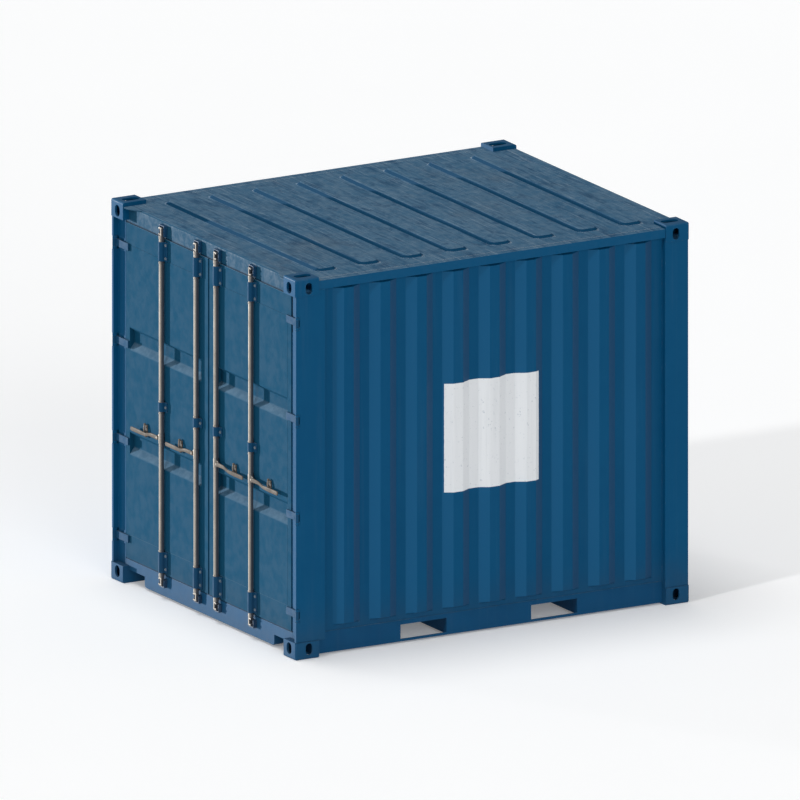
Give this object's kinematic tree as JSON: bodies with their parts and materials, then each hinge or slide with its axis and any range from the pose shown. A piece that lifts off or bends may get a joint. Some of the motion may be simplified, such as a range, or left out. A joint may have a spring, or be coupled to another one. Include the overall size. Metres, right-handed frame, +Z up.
{
  "type": "ten foot shipping container",
  "caption": "Short steel freight container with ribbed walls, double doors on hinges, lock rods with lifting handles and forklift pockets.",
  "frame": {"origin": "middle of the footprint at ground level, under the corner castings", "axes": "+X along the container away from the doors, +Y across it to the left-hand side as seen by someone facing the doors, +Z up"},
  "size_m": [2.991, 2.438, 2.591],
  "materials": {
    "body_paint": "weathered satin blue",
    "door_paint": "weathered satin blue",
    "roof_paint": "chalked, worn blue",
    "underframe_paint": "dull dark blue",
    "galvanised": "dull zinc coat",
    "plywood": "oiled marine plywood",
    "rubber_seal": "matt black"
  },
  "bodies": {
    "container": {"bottom_corner_castings": "body_paint", "bottom_keepers": "body_paint", "cross_members": "underframe_paint", "door_header": "body_paint", "door_sill": "body_paint", "end_wall": "body_paint", "floor": "plywood", "forklift_pockets": "underframe_paint", "left_bottom_rail": "underframe_paint", "left_door_post": "body_paint", "left_hinge_lugs": "body_paint", "left_rear_post": "body_paint", "left_top_rail": "body_paint", "left_wall": "body_paint", "rear_bottom_rail": "underframe_paint", "rear_top_rail": "body_paint", "right_bottom_rail": "underframe_paint", "right_door_post": "body_paint", "right_hinge_lugs": "body_paint", "right_rear_post": "body_paint", "right_top_rail": "body_paint", "right_wall": "body_paint", "roof": "roof_paint", "top_corner_castings": "body_paint", "top_keepers": "body_paint"},
    "left_door": {"left_door_frame": "door_paint", "left_door_gasket": "rubber_seal", "left_door_sheet": "door_paint", "left_handle_catches": "galvanised", "left_hinge_blades": "door_paint", "left_rod_guides": "door_paint"},
    "right_door": {"right_door_frame": "door_paint", "right_door_gasket": "rubber_seal", "right_door_sheet": "door_paint", "right_handle_catches": "galvanised", "right_hinge_blades": "door_paint", "right_rod_guides": "door_paint"},
    "lock_rod_1": {"lock_rod_1": "galvanised"},
    "lock_rod_2": {"lock_rod_2": "galvanised"},
    "lock_rod_3": {"lock_rod_3": "galvanised"},
    "lock_rod_4": {"lock_rod_4": "galvanised"},
    "handle_1": {"handle_1": "galvanised"},
    "handle_2": {"handle_2": "galvanised"},
    "handle_3": {"handle_3": "galvanised"},
    "handle_4": {"handle_4": "galvanised"}
  },
  "joints": [
    {"name": "left_door_hinge", "type": "hinge", "parent": "container", "child": "left_door", "pos_m": [-1.4775, 1.205, 1.3], "axis": [0, 0, -1], "range_deg": [0, 255]},
    {"name": "right_door_hinge", "type": "hinge", "parent": "container", "child": "right_door", "pos_m": [-1.4775, -1.205, 1.3], "axis": [0, 0, 1], "range_deg": [0, 255]},
    {"name": "lock_rod_1_turn", "type": "hinge", "parent": "left_door", "child": "lock_rod_1", "pos_m": [-1.473, 0.588, 1.3], "axis": [0, 0, -1], "range_deg": [-95, 0]},
    {"name": "lock_rod_2_turn", "type": "hinge", "parent": "left_door", "child": "lock_rod_2", "pos_m": [-1.473, 0.131, 1.3], "axis": [0, 0, -1], "range_deg": [-95, 0]},
    {"name": "lock_rod_3_turn", "type": "hinge", "parent": "right_door", "child": "lock_rod_3", "pos_m": [-1.473, -0.131, 1.3], "axis": [0, 0, 1], "range_deg": [-95, 0]},
    {"name": "lock_rod_4_turn", "type": "hinge", "parent": "right_door", "child": "lock_rod_4", "pos_m": [-1.473, -0.588, 1.3], "axis": [0, 0, 1], "range_deg": [-95, 0]},
    {"name": "handle_1_lift", "type": "hinge", "parent": "lock_rod_1", "child": "handle_1", "pos_m": [-1.4875, 0.62, 1.095], "axis": [1, 0, 0], "range_deg": [0, 20]},
    {"name": "handle_2_lift", "type": "hinge", "parent": "lock_rod_2", "child": "handle_2", "pos_m": [-1.4875, 0.163, 1.095], "axis": [1, 0, 0], "range_deg": [0, 20]},
    {"name": "handle_3_lift", "type": "hinge", "parent": "lock_rod_3", "child": "handle_3", "pos_m": [-1.4875, -0.163, 1.095], "axis": [-1, 0, 0], "range_deg": [0, 20]},
    {"name": "handle_4_lift", "type": "hinge", "parent": "lock_rod_4", "child": "handle_4", "pos_m": [-1.4875, -0.62, 1.095], "axis": [-1, 0, 0], "range_deg": [0, 20]}
  ]
}
